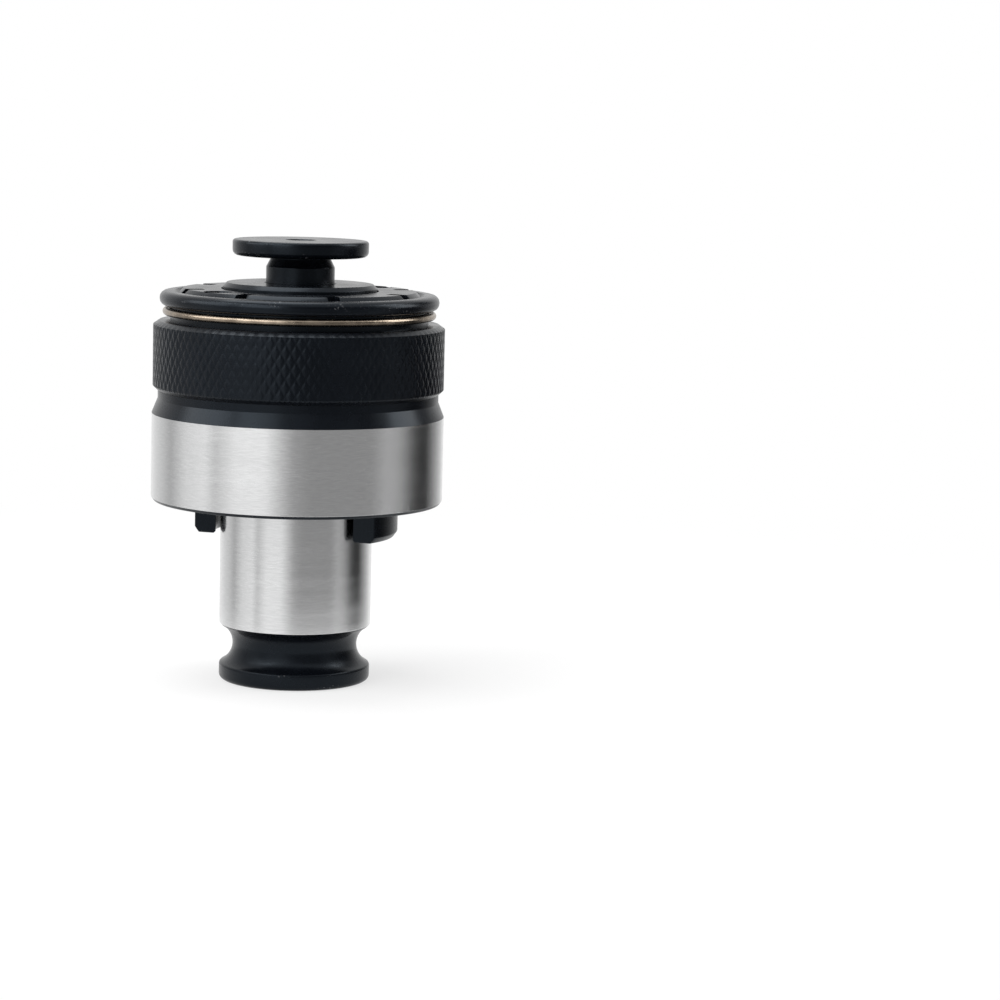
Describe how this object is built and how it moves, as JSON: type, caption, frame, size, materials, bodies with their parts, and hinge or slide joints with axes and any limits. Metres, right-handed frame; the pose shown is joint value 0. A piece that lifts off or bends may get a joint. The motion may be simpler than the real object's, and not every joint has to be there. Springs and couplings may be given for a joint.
{
  "type": "tap adapter",
  "caption": "Quick-change tap adapter with a grooved spigot, drive dogs, a torque-limiting ball clutch with a slotted adjusting nut, and a push collar that releases the tap.",
  "frame": {"origin": "centre of the spigot's end face", "axes": "+Z along the axis from the spigot to the tap side, +X through one of the two drive dogs"},
  "size_m": [0.0364, 0.0364, 0.0552],
  "materials": {
    "ground_steel": "ground, satin",
    "black_oxide": "black oxide, satin",
    "bronze_wire": "bronze-toned spring wire",
    "hard_steel": "hardened and polished",
    "spring_steel": "oiled spring steel"
  },
  "bodies": {
    "housing": {"drive_body": "ground_steel", "knurled_sleeve": "black_oxide", "lock_wire": "bronze_wire"},
    "core": {"tap_core": "ground_steel", "square_driver": "hard_steel", "driver_pins": "hard_steel", "collar_snap_ring": "spring_steel", "collar_spring": "spring_steel"},
    "ball_ring": {"clutch_balls": "hard_steel", "pressure_plate": "hard_steel"},
    "collar": {"release_collar": "black_oxide"},
    "grip_1": {"lock_ball_1": "hard_steel"},
    "grip_2": {"lock_ball_2": "hard_steel"},
    "grip_3": {"lock_ball_3": "hard_steel"},
    "preload": {"thrust_washer": "hard_steel", "disc_spring_1": "spring_steel", "disc_spring_2": "spring_steel", "disc_spring_3": "spring_steel", "disc_spring_4": "spring_steel", "disc_spring_5": "spring_steel", "disc_spring_6": "spring_steel"},
    "nut": {"adjusting_nut": "black_oxide"}
  },
  "joints": [
    {"name": "clutch_slip", "type": "hinge", "parent": "housing", "child": "core", "pos_m": [0, 0, 0], "axis": [0, 0, 1], "continuous": true},
    {"name": "ball_lift", "type": "slide", "parent": "core", "child": "ball_ring", "axis": [0, 0, 1], "range_m": [0, 0.0006], "stiffness_N_per_m": 8000, "springref_m": -0.002, "deforming": ["disc_spring_1", "disc_spring_2", "disc_spring_3", "disc_spring_4", "disc_spring_5", "disc_spring_6"]},
    {"name": "collar_press", "type": "slide", "parent": "core", "child": "collar", "axis": [0, 0, -1], "range_m": [0, 0.003], "stiffness_N_per_m": 1500, "springref_m": -0.003, "deforming": ["collar_spring"]},
    {"name": "lock_ball_1_open", "type": "slide", "parent": "collar", "child": "grip_1", "axis": [1, 0, 0], "range_m": [0, 0.00043]},
    {"name": "lock_ball_2_open", "type": "slide", "parent": "collar", "child": "grip_2", "axis": [-0.5, 0.866, 0], "range_m": [0, 0.00043]},
    {"name": "lock_ball_3_open", "type": "slide", "parent": "collar", "child": "grip_3", "axis": [-0.5, -0.866, 0], "range_m": [0, 0.00043]},
    {"name": "nut_travel", "type": "slide", "parent": "housing", "child": "preload", "axis": [0, 0, 1], "range_m": [-0.0005, 0.0005], "deforming": ["lock_wire", "disc_spring_1", "disc_spring_2", "disc_spring_3", "disc_spring_4", "disc_spring_5", "disc_spring_6"]},
    {"name": "nut_turn", "type": "hinge", "parent": "preload", "child": "nut", "pos_m": [0, 0, 0], "axis": [0, 0, 1], "range_deg": [-180, 180]}
  ],
  "couplings": [
    {"joint": "lock_ball_1_open", "follows": "collar_press", "ratio": 0.14054},
    {"joint": "lock_ball_2_open", "follows": "collar_press", "ratio": 0.14054},
    {"joint": "lock_ball_3_open", "follows": "collar_press", "ratio": 0.14054},
    {"joint": "nut_turn", "follows": "nut_travel", "rad_per_m": 6283.2}
  ]
}
